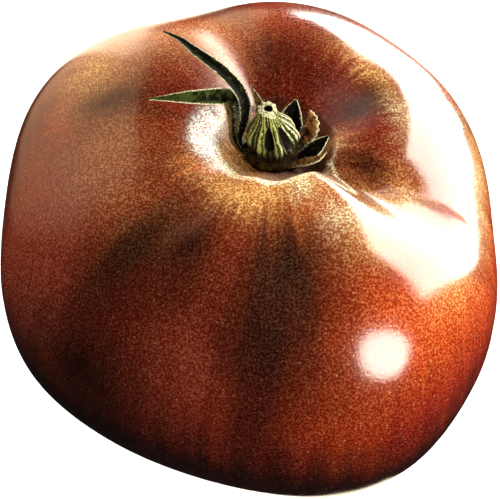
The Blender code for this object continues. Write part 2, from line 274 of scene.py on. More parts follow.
marked = start.node("GeometryNodeStoreNamedAttribute", {"data_type": "FLOAT_VECTOR"}, {
    "Geometry": ball, "Name": "skin_ring", "Value": ring})
marked = start.node("GeometryNodeStoreNamedAttribute", {"data_type": "FLOAT"}, {
    "Geometry": marked, "Name": "skin_radius", "Value": radius})
bent = start.node("GeometryNodeSetPosition", None, {"Geometry": marked, "Position": spot})
fruit = grow("fruit_skin", tree, bent, fruit_sizes, skin)
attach(fruit, "root")
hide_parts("fruit")

# The skin's finish: a thin glossy cuticle over flesh that is dusty red-brown, striped olive along
# its meridians and tan round the cup, all finely speckled with gold, and darkened to a dark purple
# underneath as painted shade.
RED, FLAME, ROSE = (0.18, 0.017, 0.006), (0.48, 0.066, 0.011), (0.50, 0.086, 0.041)
SCARLET, HIGHLIGHT_WHITE = (0.17, 0.008, 0.004), (0.90, 0.85, 0.72)
TAN, CREAM, CORK = (0.66, 0.31, 0.09), (0.95, 0.74, 0.42), (0.30, 0.12, 0.03)
DUSK, OLIVE, UNDERSIDE_SHADE = (0.025, 0.0045, 0.0025), (0.030, 0.010, 0.004), (0.012, 0.002, 0.002)
# the second of these cup colours is painted light, the gold of the cup's lit left wall
CUP_BROWN, CUP_LIT_GOLD, GOLD = (0.10, 0.035, 0.010), (0.90, 0.42, 0.11), (0.66, 0.36, 0.15)
# a fine speck is the colour under it, times the first of these and plus the second, and between
# the specks it is times the third
SPECK_TIMES, SPECK_PLUS = (1.5, 2.3, 2.6), (0.010, 0.005, 0.002)
GAP_TIMES = (0.68, 0.42, 0.36)
# colour, direction and half width in degrees, then degrees down from the stalk and half height,
# strength; each is laid over those before it, and the last five are on the far side
MARKINGS = [
    (FLAME, 310, 24, 55, 16, 1.0), (FLAME, 165, 10, 50, 6, 0.7), (FLAME, 290, 9, 80, 16, 0.4),
    (FLAME, 102, 12, 29, 8, 0.45), (FLAME, 343, 17, 62, 9, 0.4), (FLAME, 185, 17, 64, 8, 0.5),
    (ROSE, 253, 11, 64, 16, 0.4), (ROSE, 203, 22, 73, 28, 1.0), (ROSE, 0, 26, 10, 4, 0.35),
    (TAN, 150, 10, 43, 9, 0.9), (TAN, 117, 18, 30, 14, 0.35), (TAN, 188, 48, 36, 11, 0.23),
    (TAN, 240, 37, 16, 5, 1.0), (TAN, 279, 39, 12, 9, 1.0), (TAN, 31, 28, 27, 4, 0.85),
    (TAN, 317, 19, 29, 7, 1.0), (TAN, 353, 12, 9, 4, 0.7),
    (DUSK, 272, 15, 53, 25, 1.0), (DUSK, 229, 11, 52, 25, 0.6), (DUSK, 239, 9, 34, 9, 0.95),
    (DUSK, 230, 20, 81, 18, 1.0), (DUSK, 272, 8, 78, 17, 0.8), (DUSK, 86, 17, 19, 9, 0.66),
    (DUSK, 23, 14, 19, 10, 1.0), (DUSK, 245, 9, 46, 15, 0.6), (DUSK, 161, 12, 34, 11, 0.9),
    (DUSK, 60, 21, 15, 6, 0.6), (OLIVE, 224, 7, 42, 18, 0.93), (OLIVE, 276, 13, 35, 14, 1.0),
    (TAN, 358, 22, 57, 8, 0.85), (CREAM, 350, 14, 56, 5, 0.3), (FLAME, 290, 17, 19, 5, 0.5),
    (FLAME, 215, 14, 15, 4, 0.4), (SCARLET, 310, 26, 88, 16, 0.8), (DUSK, 200, 22, 21, 6, 0.35),
    (CREAM, 301, 9, 24, 4, 0.4), (CREAM, 9, 10, 27, 4, 0.3), (CREAM, 291, 8, 12, 4, 0.75),
    (TAN, 320, 8, 53, 6, 0.5), (DUSK, 335, 9, 18, 5, 0.85),
    (FLAME, 45, 18, 64, 20, 0.6), (FLAME, 120, 16, 66, 18, 0.5), (DUSK, 70, 9, 60, 26, 0.6),
    (OLIVE, 100, 8, 52, 24, 0.6), (DUSK, 16, 9, 64, 22, 0.5)]
UNDERSIDE_FROM, UNDERSIDE_FADE = 77, 25
BLOTCH_SCALE, DASH_SCALE = 60.0, 1400.0
SPECK_SIZE, DOT_SPACING, PORE_SIZE, PORE_DEPTH = 0.40 * MM, 0.95 * MM, 0.45 * MM, 0.02 * MM
# the brown cup with painted light in gold on its left wall, and its corky lip, widest at the front
CUP_WALL, CUP_WALL_WIDTH, TOP_END, TOP_FADE = 8.5 * MM, 2.6 * MM, 8, 12
LIT_WALL_AT, LIT_WALL_HALF_WIDTH = 190, 55
LIP_RADIUS, LIP_FRONT, LIP_FRONT_HALF_WIDTH = 11.4 * MM, 238, 90
LIP_WIDTH, LIP_SWELL, LIP_WANDER = 0.4 * MM, 0.8 * MM, 1.5 * MM
# the healed split that runs out from the lip, and the seam that carries on from it to the rim
SPLIT_AT, SPLIT_START, SPLIT_END, SPLIT_WIDTH = 316, 10 * MM, 20.5 * MM, 3.4 * MM
SPLIT_LIP_WIDTH = 0.35 * MM
SEAM_START, SEAM_END, SEAM_FADE, SEAM_WIDTH = 21 * MM, 39 * MM, 3 * MM, 1.0 * MM
SEAM_DIRECTION, SEAM_TURN, SEAM_TURN_FROM, SEAM_TURN_RUN = 339.5, 21.3, 20 * MM, 7 * MM
SEAM_LOWEST, SEAM_LOW_FADE = 70, 10
# direction and half width, radius and half breadth: the painted highlight, a white glare on the
# rim left of the cup, and the spots where a waxy bloom dulls the gloss, with their strength
PAINTED_RIM_HIGHLIGHT = (178, 27, 13.2 * MM, 2.2 * MM)
BLOOM_SPOTS = [((25, 25, 15 * MM, 5 * MM), 1.0), ((118, 22, 22 * MM, 12 * MM), 0.35)]
GLOSSY, SPECK_ROUGHNESS, DULLNESS, SEAM_DULLNESS = 0.17, 0.15, 0.6, 1.3


def blend_colours(wire, factor, first, second, kind="MIX"):
    """A colour between two, each a wire or three numbers."""
    colours = [c if isinstance(c, Wire) else (*c, 1) for c in (first, second)]
    return wire.node("ShaderNodeMix", {"data_type": "RGBA", "blend_type": kind},
                     {0: factor, 6: colours[0], 7: colours[1]}, 2)


def noise_on(wire, vector, scale, detail=2.0):
    return wire.node("ShaderNodeTexNoise", None,
                     {"Vector": vector, "Scale": scale, "Detail": detail})


def patch(at, wide, radius, breadth):
    """A soft patch round the stalk, 1 in its middle."""
    return bump(angle, at, wide) * fall((out_from_stalk - radius) / breadth)


start = Wire(skin.node_tree)
where = start.node("ShaderNodeTexCoord", output="Object")
ring = start.node("ShaderNodeSeparateXYZ", None, {
    0: start.node("ShaderNodeAttribute", {"attribute_name": "skin_ring"}, output="Vector")})
out_from_stalk = start.node("ShaderNodeAttribute", {"attribute_name": "skin_radius"}, output="Fac")
angle = start.math("ARCTAN2", ring.out("Y"), ring.out("X"))
down = ring.out("Z") * 180
blotch = noise_on(start, where, BLOTCH_SCALE, 2.0)
round_it = start.node("ShaderNodeCombineXYZ", None, {
    0: ring.out("X") * 14, 1: ring.out("Y") * 14, 2: ring.out("Z") * 2.5})
fibre = noise_on(start, round_it, 1.0, 3.0)
wobble = angle + (blotch - 0.5) * 0.25 + (fibre - 0.5) * 0.12
sag = down + (fibre - 0.5) * 16
top = 1 - ease((down - TOP_END) / TOP_FADE)
colour = blend_colours(start, clamp((fibre - 0.35) * 1.6) * 0.5, RED, DUSK)
for shade, at, wide, low, tall, strength in MARKINGS:
    mark = bump(wobble, at, wide) * fall((sag - low) / tall) * strength
    colour = blend_colours(start, mark, colour, shade)
# painted shade: towards the bottom the skin darkens to a dark purple, the light falling off under
# the fruit
colour = blend_colours(start, ease((sag - UNDERSIDE_FROM) / UNDERSIDE_FADE), colour, UNDERSIDE_SHADE)
inside = (1 - ease((out_from_stalk - CUP_WALL) / CUP_WALL_WIDTH)) * top
# painted light: the cup's left wall, which faces the light, is coloured bright gold
lit_left_wall = bump(angle, LIT_WALL_AT, LIT_WALL_HALF_WIDTH)
colour = blend_colours(start, inside * (1 - lit_left_wall * 0.5), colour, CUP_BROWN)
colour = blend_colours(start, inside * lit_left_wall, colour, CUP_LIT_GOLD)
front = bump(wobble, LIP_FRONT, LIP_FRONT_HALF_WIDTH)
off_lip = out_from_stalk - LIP_RADIUS + (blotch - 0.5) * LIP_WANDER
lip = fall(off_lip / (front * LIP_SWELL + LIP_WIDTH)) * front * top
dashes = noise_on(start, where, DASH_SCALE, 1.0)
colour = blend_colours(start, ease(lip * 2), colour, CREAM)
lip_dashes = ease((dashes - 0.62) * 12) * ease((lip - 0.3) * 3)
colour = blend_colours(start, lip_dashes * 0.8, colour, OLIVE)
from_split = start.math("WRAP", wobble - math.radians(SPLIT_AT), math.pi, -math.pi)
across = start.math("ABSOLUTE", from_split) * out_from_stalk
gape = (SPLIT_END - out_from_stalk) * (SPLIT_WIDTH / (SPLIT_END - SPLIT_START))
split_part = (ease((out_from_stalk - SPLIT_START) / MM)
              * ease((SPLIT_END + 1 * MM - out_from_stalk) / MM))
split_lip = fall((across - gape) / SPLIT_LIP_WIDTH) * split_part
in_split = ease((gape - across) / (0.5 * MM)) * split_part
colour = blend_colours(start, in_split * 0.7, colour, CORK)
colour = blend_colours(start, ease((dashes - 0.55) * 9) * in_split, colour, OLIVE)
colour = blend_colours(start, split_lip, colour, CREAM)
# painted highlight: a white glare on the cup's left rim, laid into the skin's colour
colour = blend_colours(start, ease(patch(*PAINTED_RIM_HIGHLIGHT) * 1.5), colour, HIGHLIGHT_WHITE)
seam_turn = start.math("EXPONENT", (SEAM_TURN_FROM - out_from_stalk) / SEAM_TURN_RUN)
seam_at = seam_turn * math.radians(-SEAM_TURN) + math.radians(SEAM_DIRECTION)
aside = start.math("WRAP", wobble - seam_at, math.pi, -math.pi) * out_from_stalk
on_shoulder = (ease((out_from_stalk - SEAM_START) / SEAM_FADE)
               * (1 - ease((out_from_stalk - SEAM_END) / SEAM_FADE))
               * (1 - ease((down - SEAM_LOWEST) / SEAM_LOW_FADE)))
seam = fall(aside / SEAM_WIDTH) * on_shoulder
fine = noise_on(start, where, 1 / SPECK_SIZE, 2.5)
cell = start.node("ShaderNodeTexVoronoi", None, {
    "Vector": where, "Scale": 1 / DOT_SPACING}, "Distance")
chance = start.node("ShaderNodeSeparateColor", None, {0: cell.out("Color")})
light = start.node("ShaderNodeSeparateColor", None, {0: colour})
dots = ease((0.25 - cell) * 8) * chance.out("Red") ** 2 * clamp(light * 3 + 0.1)
specks = blend_colours(start, 1.0, colour, SPECK_TIMES, "MULTIPLY")
specks = blend_colours(start, 1.0, specks, SPECK_PLUS, "ADD")
gaps = blend_colours(start, 1.0, colour, GAP_TIMES, "MULTIPLY")
colour = blend_colours(start, ease((fine - 0.42) * 4), gaps, specks)
colour = blend_colours(start, dots * 0.7, colour, GOLD)
bloom = 0 * angle
for spot, strength in BLOOM_SPOTS:
    bloom = bloom + patch(*spot) * strength
dull = clamp(inside + lip + split_lip + in_split + bloom + seam * SEAM_DULLNESS)
rough = GLOSSY + (fine - 0.5) * SPECK_ROUGHNESS + dull * DULLNESS
shader = skin.node_tree.nodes["Principled BSDF"]
skin.node_tree.links.new(colour.socket, shader.inputs["Base Color"])
skin.node_tree.links.new(clamp(rough).socket, shader.inputs["Roughness"])
pits = noise_on(start, where, 1 / PORE_SIZE, 1.5)
pores = start.node("ShaderNodeBump", None, {
    "Strength": 1.0, "Distance": PORE_DEPTH,
    "Height": pits + (lip + split_lip) * 4}, "Normal")
skin.node_tree.links.new(pores.socket, shader.inputs["Normal"])
shader.inputs["Specular IOR Level"].default_value = 0.5

# The calyx disc: the green base that the sepals grow from, a thick leathery plate in the cup's
# floor. It lies on the fruit round the stalk's foot, ridged where each sepal leaves it.
STALK = Vector((STALK_X - FRUIT_CENTRE[0], STALK_Y - FRUIT_CENTRE[1], 0))
MIDDLE = STALK + Vector((-0.2 * MM, 1.0 * MM, 0))
DISC_RADIUS, GAP = 5.7 * MM, 0.35 * MM
DISC_SEGMENTS, DISC_RINGS, DISC_RIDGES, DISC_RIDGE = 96, 14, 7, 0.35 * MM
# the top is level with the CAD disc's, and the underside follows the skin with a little air
DISC_TOP, DISC_EDGE_DROP, DISC_AIR = 68.0 * MM, 0.5 * MM, 0.1 * MM
skin_mesh = BVHTree.FromPolygons([v.co for v in fruit.data.vertices],
                                 [p.vertices for p in fruit.data.polygons])


def skin_height(x, y):
    return skin_mesh.ray_cast(Vector((x, y, 0.2)), Vector((0, 0, -1)))[0].z


def closed_rings(rings, first_end, last_end):
    """Points and faces of rings of equal length, closed by a fan to a point at each end."""
    count = len(rings[0])
    points = [first_end, *(point for ring in rings for point in ring), last_end]
    faces = []
    for k in range(count):
        after, base = (k + 1) % count, 1 + (len(rings) - 1) * count
        faces += [(0, 1 + k, 1 + after), (len(points) - 1, base + after, base + k)]
        for a in range(1, base, count):
            faces.append((a + k, a + count + k, a + count + after, a + after))
    return points, faces


def piece(name, points, faces, material, tones=None):
    """A smooth mesh object, with one vector per point that its material reads as its tone."""
    mesh = bpy.data.meshes.new(name)
    mesh.from_pydata([tuple(point) for point in points], [], faces)
    mesh.update()
    mesh.shade_smooth()
    if tones is not None:
        tone = mesh.attributes.new("tone", "FLOAT_VECTOR", "POINT")
        tone.data.foreach_set("vector", np.array(tones, np.float32).ravel())
    mesh.materials.append(material)
    made = bpy.data.objects.new(name, mesh)
    bpy.context.scene.collection.objects.link(made)
    return made


# the near-black green is the sepals' own dark green, and painted shade where a sepal or the disc
# lies in shade
DARK_GREEN_AND_SHADE, GREEN, STRAW = (0.003, 0.003, 0.002), (0.055, 0.075, 0.012), (0.50, 0.46, 0.20)
DRY_AND_SHADE, PALE_MARGIN_AND_LIGHT = (0.50, 0.21, 0.055), (0.90, 0.86, 0.52)
leaf = bpy.data.materials.new("sepal green")
leaf.use_nodes = True
start = Wire(leaf.node_tree)
where = start.node("ShaderNodeTexCoord", output="Object")
# how pale (its pale margin, and painted light on the lit half of a fold), how dry (its dryness,
# and painted shade on the shaded half of a fold) and how green it is
tone = start.node("ShaderNodeSeparateXYZ", None, {
    0: start.node("ShaderNodeAttribute", {"attribute_name": "tone"}, output="Vector")})
cloud = noise_on(start, where, 900.0, 3.0)
down = noise_on(start, where, 3200.0, 2.0)
colour = blend_colours(start, ease((cloud - 0.60 + tone.out("Z") * 0.3) * 4), DARK_GREEN_AND_SHADE, GREEN)
colour = blend_colours(start, ease((down - 0.64) * 7) * 0.6, colour, STRAW)
colour = blend_colours(start, tone.out("Y") * ease(cloud * 3 - 0.8), colour, DRY_AND_SHADE)
margin_and_light = ease(tone.out("X") * 2 - (down - 0.25) * 3)
colour = blend_colours(start, margin_and_light * 0.9, colour, PALE_MARGIN_AND_LIGHT)
shader = leaf.node_tree.nodes["Principled BSDF"]
leaf.node_tree.links.new(colour.socket, shader.inputs["Base Color"])
leaf.node_tree.links.new((0.55 + cloud * 0.35).socket, shader.inputs["Roughness"])
veins = start.node("ShaderNodeBump", None, {
    "Strength": 0.5, "Distance": 0.12 * MM, "Height": cloud + down * 0.5}, "Normal")
leaf.node_tree.links.new(veins.socket, shader.inputs["Normal"])
shader.inputs["Specular IOR Level"].default_value = 0.02

turns = np.linspace(0, 2 * np.pi, DISC_SEGMENTS, endpoint=False)
rings_of_disc = []
for part, shares in (("top", np.linspace(1 / DISC_RINGS, 1, DISC_RINGS)),
                     ("under", np.linspace(1, 1 / DISC_RINGS, DISC_RINGS))):
    for out_share in shares:
        circle = []
        for a in turns:
            x = MIDDLE.x + out_share * DISC_RADIUS * math.cos(a)
            y = MIDDLE.y + out_share * DISC_RADIUS * math.sin(a)
            z = DISC_TOP if part == "top" else skin_height(x, y) + DISC_AIR
            if part == "top":
                z -= (DISC_RIDGE * (0.5 + 0.5 * math.cos(DISC_RIDGES * a)) * out_share
                      + DISC_EDGE_DROP * out_share ** 6)
            circle.append((x, y, z))
        rings_of_disc.append(circle)
under_middle = skin_height(MIDDLE.x, MIDDLE.y) + DISC_AIR
points, faces = closed_rings(rings_of_disc, (MIDDLE.x, MIDDLE.y, DISC_TOP),
                             (MIDDLE.x, MIDDLE.y, under_middle))
# painted shade: the disc is coloured near black, the shade it lies in under the stub
disc = piece("calyx_disc", points, faces, leaf, [(0, 0.10, 0.3)] * len(points))
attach(disc, "root")
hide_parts("calyx")

# The seven sepals: dried green straps, each folded along its midrib, with a pale rolled margin.
# Each grows out of the disc and is its own mesh, from its root over its bend to its tip.
CALYX_LEVEL = 65.6 * MM
BLADE_STATIONS, BLADE_ACROSS, CURVE_STEPS = 90, 15, 12
BLADE_TIP, BLADE_WIDEST, BLADE_FULLNESS = 0.16, 0.8, 0.75
FOLD_LEVEL, ROOT_INSET, ROOT_HEIGHT, BEND_HEIGHT = 0.5, 0.75, 1.0 * MM, 1.6 * MM
LOWER_PART, MARGIN_START = 0.42, 0.66
BLADE_THICKNESS, MARGIN_THICKNESS, RIB_HEIGHT, RIB_WIDTH = 0.55 * MM, 0.16 * MM, 0.16 * MM, 0.16
# root direction, midrib from the stalk's place at the calyx's level in mm, width in mm, width at
# the root as a share, fold, turn of the face in degrees at root and tip, crinkle in mm, and how
# much painted light the lower part has on its right half and how much painted shade, drawn as
# dryness, on its left half, then how dry and how green it all is
SEPALS = {
    # the long sepal is mostly near black: painted shade on its face turned from the light
    "long": (196, [(-6.8, 1.5, 3.0), (-6.2, 3.2, 4.9), (-5.7, 5.1, 7.9), (-6.7, 7.4, 9.9),
                   (-9.9, 11.0, 11.4), (-14.9, 15.7, 11.9), (-17.8, 19.3, 11.4),
                   (-21.0, 22.6, 10.3)], 2.7, 0.75, 0.45, (10, -10), 0.10, 0.0, 0.0, 0.0, 0.25),
    "flopped": (183, [(-7.6, 1.9, 3.0), (-7.8, 3.8, 5.4), (-8.3, 6.1, 8.0), (-9.4, 6.9, 8.9),
                      (-13.1, 6.3, 9.4), (-17.7, 6.2, 9.3), (-23.4, 6.8, 8.3)],
                3.3, 1.15, 0.5, (-20, 0), 0.12, 1.0, 0.55, 0.0, 1.0),
    "rear": (105, [(-2.5, 7.6, 3.2), (-3.3, 8.8, 5.8), (-4.6, 10.3, 8.2)],
             2.2, 0.6, 0.5, (0, 20), 0.12, 0.7, 0.2, 0.2, 0.5),
    "upright": (51, [(3.4, 6.5, 3.3), (3.7, 7.0, 5.4), (4.0, 7.5, 7.4)],
                4.6, 0.6, 0.6, (0, 10), 0.15, 0.0, 0.0, 0.0, 0.0),
    "crumpled": (22, [(6.4, 3.8, 2.8), (7.0, 4.4, 4.6), (6.6, 5.6, 6.6)],
                 4.2, 0.6, -0.35, (0, -10), 0.35, 0.1, 0.5, 1.0, 0.2),
    "pointed": (-40, [(6.2, -2.2, 2.7), (8.0, -1.2, 4.2), (9.9, -0.4, 6.0)],
                3.9, 0.8, 0.3, (25, 40), 0.10, 0.0, 0.0, 0.0, 0.1),
    "curled": (-54, [(4.8, -4.0, 3.0), (7.3, -4.7, 4.5), (9.5, -4.2, 5.9)],
               2.5, 0.8, -0.4, (0, 25), 0.12, 0.0, 0.3, 0.45, 0.6),
}


def smooth_curve(controls, count):
    """Evenly spaced points on a smooth curve through a few control points."""
    controls = np.array(controls, dtype=float)
    knots = np.vstack([2 * controls[0] - controls[1], controls,
                       2 * controls[-1] - controls[-2]])
    spans, fine = len(controls) - 1, []
    for position in np.linspace(0, spans, CURVE_STEPS * count):
        k = min(int(position), spans - 1)
        t = position - k
        a, b, c, d = knots[k:k + 4]
        fine.append((2 * b + (c - a) * t + (2 * a - 5 * b + 4 * c - d) * t ** 2
                     + (3 * b - a - 3 * c + d) * t ** 3) / 2)
    fine = np.array(fine)
    run = np.concatenate([[0], np.cumsum(np.linalg.norm(np.diff(fine, axis=0), axis=1))])
    even = np.linspace(0, run[-1], count)
    return np.stack([np.interp(even, run, fine[:, axis]) for axis in range(3)], axis=1)


def unit(vector):
    return vector / np.linalg.norm(vector)


for seed, (name, form) in enumerate(SEPALS.items()):
    root, midrib, width, foot, fold, face_turn, crinkle, lit_right, shaded_left, dry, green = form
    outward = np.array([math.cos(math.radians(root)), math.sin(math.radians(root)), 0])
    middle, level = np.array(MIDDLE), np.array([0, 0, CALYX_LEVEL])
    line = smooth_curve(
        [middle + outward * DISC_RADIUS * ROOT_INSET + level + [0, 0, ROOT_HEIGHT],
         middle + outward * DISC_RADIUS + level + [0, 0, BEND_HEIGHT],
         *(np.array(STALK) + level + np.array(point) * MM for point in midrib)], BLADE_STATIONS)
    blade_rings, tones = [], []
    across = np.linspace(1, -1, BLADE_ACROSS)
    for k, at in enumerate(line):
        share = k / (BLADE_STATIONS - 1)
        spindle = 0
        if 0 < share < 1:
            spindle = math.sin(math.pi * share ** BLADE_WIDEST) ** BLADE_FULLNESS
        half_width = width * MM * max(spindle, foot * (1 - share) ** 2, BLADE_TIP) / 2
        ahead = unit(line[min(k + 1, BLADE_STATIONS - 1)] - line[max(k - 1, 0)])
        face = unit((middle - at) * [1, 1, 0]) + [0, 0, 1]
        face = unit(face - ahead * face.dot(ahead))
        turned = math.radians(np.interp(share, [0, 1], face_turn))
        face = face * math.cos(turned) + np.cross(ahead, face) * math.sin(turned)
        sideways = np.cross(ahead, face)
        top, under, row = [], [], []
        for place_across in across:
            edge = abs(place_across)
            fold_here = fold * half_width * (math.sqrt(edge ** 2 + 0.01) - FOLD_LEVEL)
            wave = noise.noise(Vector((share * 9 + seed * 7, place_across * 1.2, seed * 3.1)))
            curl = 0.5 * math.sin(share * 60 + seed + place_across)
            ripple = crinkle * MM * (wave + curl) * edge
            rib = RIB_HEIGHT * math.exp(-(place_across / RIB_WIDTH) ** 2) * (1 - share)
            centre_line = at + sideways * place_across * half_width + face * (fold_here + ripple)
            thick = (MARGIN_THICKNESS + (BLADE_THICKNESS - MARGIN_THICKNESS)
                     * math.sqrt(max(0, 1 - edge ** 2)) * (1 - 0.6 * share)) / 2
            top.append(centre_line + face * (thick - 0.5 * rib))
            under.append(centre_line - face * (thick + rib))
            low = max(0, 1 - share / LOWER_PART) ** 0.3
            margin = min(1, max(0, (edge - MARGIN_START) / 0.3))
            margin *= 0.25 + 0.75 * min(1, share / LOWER_PART)
            right, left = max(0, place_across), max(0, -place_across)
            # painted light, pale, on the right half of the folded lower part, and painted shade,
            # dry brown, on its left half
            row.append((max(margin * 0.9, lit_right * low * min(1, 3 * right)),
                        max(dry, shaded_left * low * min(1, 3 * left)), green * share ** 0.5))
        tones += row + row[::-1]
        blade_rings.append(top + under[::-1])
    points, faces = closed_rings(blade_rings, np.mean(blade_rings[0], axis=0),
                                 np.mean(blade_rings[-1], axis=0))
    tones = [(0, 0, 0), *tones, (1, dry, green)]
    sepal = piece(f"sepal_{name}", points, faces, leaf, tones)
    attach(sepal, "root")

# The stalk stub: the woody end that stayed on the fruit when it was picked, a ribbed cone with
# a broken end, two long splits and a hole where its pith has dried out. It grows from the disc.
STUB_RADIUS, STUB_HEIGHT, STUB_END_RADIUS = 4.9 * MM, 10.0 * MM, 1.9 * MM
STUB_LEAN_X, STUB_LEAN_Y = -1.1 * MM, -0.6 * MM
STUB_FOOT, STUB_FOOT_HEIGHT = 0.86, 0.09
STUB_BULGE, STUB_SHOULDER = 1.3, 2.4
STUB_RIBS, STUB_RIB_DEPTH, STRANDS, STRAND_DEPTH = 9, 0.045, 26, 0.03
PITH_RADIUS, PITH_DEPTH = 0.8 * MM, 1.4 * MM
# direction, half width, middle of its height and half its length
STUB_SPLITS = [(262, 16, 0.42, 0.36), (316, 15, 0.38, 0.38)]
STUB_SPLIT_DEPTH = 1.9 * MM
# the dent high on its right side, and the end that is torn lower at the right front
DENT_AT, DENT_HALF_WIDTH, DENT_MIDDLE, DENT_HEIGHT, DENT_DEPTH = 5, 50, 0.8, 0.18, 1.1 * MM
TORN_AT, TORN_HALF_WIDTH, TORN_DROP, TORN_ROUGHNESS = 318, 38, 1.1 * MM, 0.9 * MM
STUB_AROUND, STUB_ROWS, SEAL_DISTANCE = 216, 130, 0.004 * MM
GROOVE_SHADE, RIB_GREEN, RIB_HIGHLIGHT = (0.030, 0.034, 0.006), (0.38, 0.41, 0.10), (0.95, 0.92, 0.58)
FOOT_SHADE, BROKEN_END, HOLLOW_SHADE = (0.018, 0.010, 0.004), (0.85, 0.82, 0.52), (0.004, 0.003, 0.002)
straw = bpy.data.materials.new("stalk green")
straw.use_nodes = True
start = Wire(straw.node_tree)
where = start.node("ShaderNodeTexCoord", output="Object")
# how near the crest of a strand, how high and how deep in a split
tone = start.node("ShaderNodeSeparateXYZ", None, {
    0: start.node("ShaderNodeAttribute", {"attribute_name": "tone"}, output="Vector")})
run_mark = start.node("ShaderNodeAttribute", {"attribute_name": "run"}, output="Fac")
stain = noise_on(start, where, 420.0, 3.0)
flecks = noise_on(start, where, 2600.0, 2.0)
# the grooves between strands are their own dark green, deepened to near black as painted shade
crest = ease((tone.out("X") - 0.32 + (flecks - 0.5) * 0.8) * 2.2) * ease(stain * 2.4 - 0.2)
colour = blend_colours(start, crest, GROOVE_SHADE, RIB_GREEN)
apart = start.node("ShaderNodeSeparateXYZ", None, {0: where})
# the right side of the stub faces the light
lit_right_side = ease((apart - MIDDLE.x - 0.5 * MM) / (2 * MM))
# painted highlight: the strand crests are pale where lit, more on the right side
painted_highlight = ease((crest - 0.6) * 3) * ease((flecks - 0.55 + lit_right_side * 0.4) * 4)
colour = blend_colours(start, painted_highlight, colour, RIB_HIGHLIGHT)
# painted shade: the stub darkens to near black towards its foot, where it stands in the shade of
# the cup
foot = 1 - ease((tone.out("Y") - 0.10) * 4.5 + (stain - 0.5) * 1.2)
colour = blend_colours(start, foot * 0.92, colour, FOOT_SHADE)
# the broken end is cream, and creamier on the lit right side as painted light
broken = ease((tone.out("Y") - 0.95) * 16) * ease((flecks - 0.35 + lit_right_side * 0.4) * 5)
colour = blend_colours(start, broken * 0.9, colour, BROKEN_END)
# painted shade: the splits and the pith hole are near black, the shade inside them
hollow_shade = clamp(ease((tone.out("Z") - 0.28) * 4) + (1 - ease((run_mark - 0.085) * 30)))
colour = blend_colours(start, hollow_shade, colour, HOLLOW_SHADE)
shader = straw.node_tree.nodes["Principled BSDF"]
straw.node_tree.links.new(colour.socket, shader.inputs["Base Color"])
straw.node_tree.links.new((0.9 - crest * 0.35).socket, shader.inputs["Roughness"])
bark = start.node("ShaderNodeBump", None, {
    "Strength": 0.6, "Distance": 0.15 * MM, "Height": flecks + stain}, "Normal")
straw.node_tree.links.new(bark.socket, shader.inputs["Normal"])
shader.inputs["Specular IOR Level"].default_value = 0.05
stub_sizes = {"Height": STUB_HEIGHT, "Foot radius": STUB_RADIUS, "End radius": STUB_END_RADIUS,
              "Pith radius": PITH_RADIUS, "Around": STUB_AROUND, "Rows": STUB_ROWS}
tree, (stub_height, foot_radius, end_radius, pith_radius, around, rows) = node_tree(
    "stub", stub_sizes)
start = Wire(tree)
sheet = start.node("GeometryNodeMeshGrid", None, {
    "Size X": 1.0, "Size Y": 1.0, "Vertices X": around, "Vertices Y": rows})
flat = start.node("ShaderNodeSeparateXYZ", None, {0: start.node("GeometryNodeInputPosition")})
angle = (flat.out("X") + 0.5) * (2 * math.pi)
run = 0.5 - flat.out("Y")


def stretch(first, last):
    """0 before one row of the profile, 1 after another, and even between."""
    return clamp((run - first) / (last - first))


round_place = start.node("ShaderNodeCombineXYZ", None, {
    0: start.math("COSINE", angle), 1: start.math("SINE", angle), 2: run * 2})
grain = noise_on(start, round_place, 3.0, 3.0)
share = 1 - stretch(0.22, 0.95)
waist = start.math("COSINE", share ** STUB_BULGE * (math.pi / 2)) ** STUB_SHOULDER
side_radius = end_radius + (foot_radius - end_radius) * waist
side_radius = side_radius * (1 - fall(share / STUB_FOOT_HEIGHT) * (1 - STUB_FOOT))
rib = start.math("COSINE", angle * STUB_RIBS)
strands = start.math("COSINE", angle * STRANDS + (grain - 0.5) * 9)
side_radius = side_radius * (1 + rib * STUB_RIB_DEPTH + strands * STRAND_DEPTH)
dent = bump(angle, DENT_AT, DENT_HALF_WIDTH) * fall((share - DENT_MIDDLE) / DENT_HEIGHT)
side_radius = side_radius - dent * DENT_DEPTH
split = 0 * share
for at, wide, middle_height, half_length in STUB_SPLITS:
    along = ease(1.3 - start.math("ABSOLUTE", share - middle_height) * (1.3 / half_length))
    split = split + along * bump(angle, at, wide)
side_radius = side_radius - split * STUB_SPLIT_DEPTH
stub_radius = (pith_radius * stretch(0, 0.05)
               + (side_radius - pith_radius) * stretch(0.1, 0.22)) * (1 - stretch(0.95, 1))
torn = (grain - 0.5) * TORN_ROUGHNESS - bump(angle, TORN_AT, TORN_HALF_WIDTH) * TORN_DROP
torn = torn * stretch(0.08, 0.16) * (1 - stretch(0.22, 0.4))
stub_level = (stub_height * share - (1 - stretch(0.05, 0.1)) * PITH_DEPTH + torn
              - stretch(0.14, 0.22) * (1 - stretch(0.22, 0.26)) * (0.25 * MM))
foot_of_stub = DISC_TOP + GAP
spot = start.node("ShaderNodeCombineXYZ", None, {
    0: stub_radius * start.math("COSINE", angle) + share * STUB_LEAN_X + MIDDLE.x,
    1: stub_radius * start.math("SINE", angle) + share * STUB_LEAN_Y + MIDDLE.y,
    2: stub_level + foot_of_stub})
tone = start.node("ShaderNodeCombineXYZ", None, {
    0: rib * 0.2 + strands * 0.35 + 0.5, 1: share, 2: split})
toned = start.node("GeometryNodeStoreNamedAttribute", {"data_type": "FLOAT_VECTOR"}, {
    "Geometry": sheet, "Name": "tone", "Value": tone})
toned = start.node("GeometryNodeStoreNamedAttribute", {"data_type": "FLOAT"}, {
    "Geometry": toned, "Name": "run", "Value": run})
bent = start.node("GeometryNodeSetPosition", None, {"Geometry": toned, "Position": spot})
sealed = start.node("GeometryNodeMergeByDistance", None, {
    "Geometry": bent, "Distance": SEAL_DISTANCE})
stub = grow("stalk_stub", tree, sealed, stub_sizes, straw)
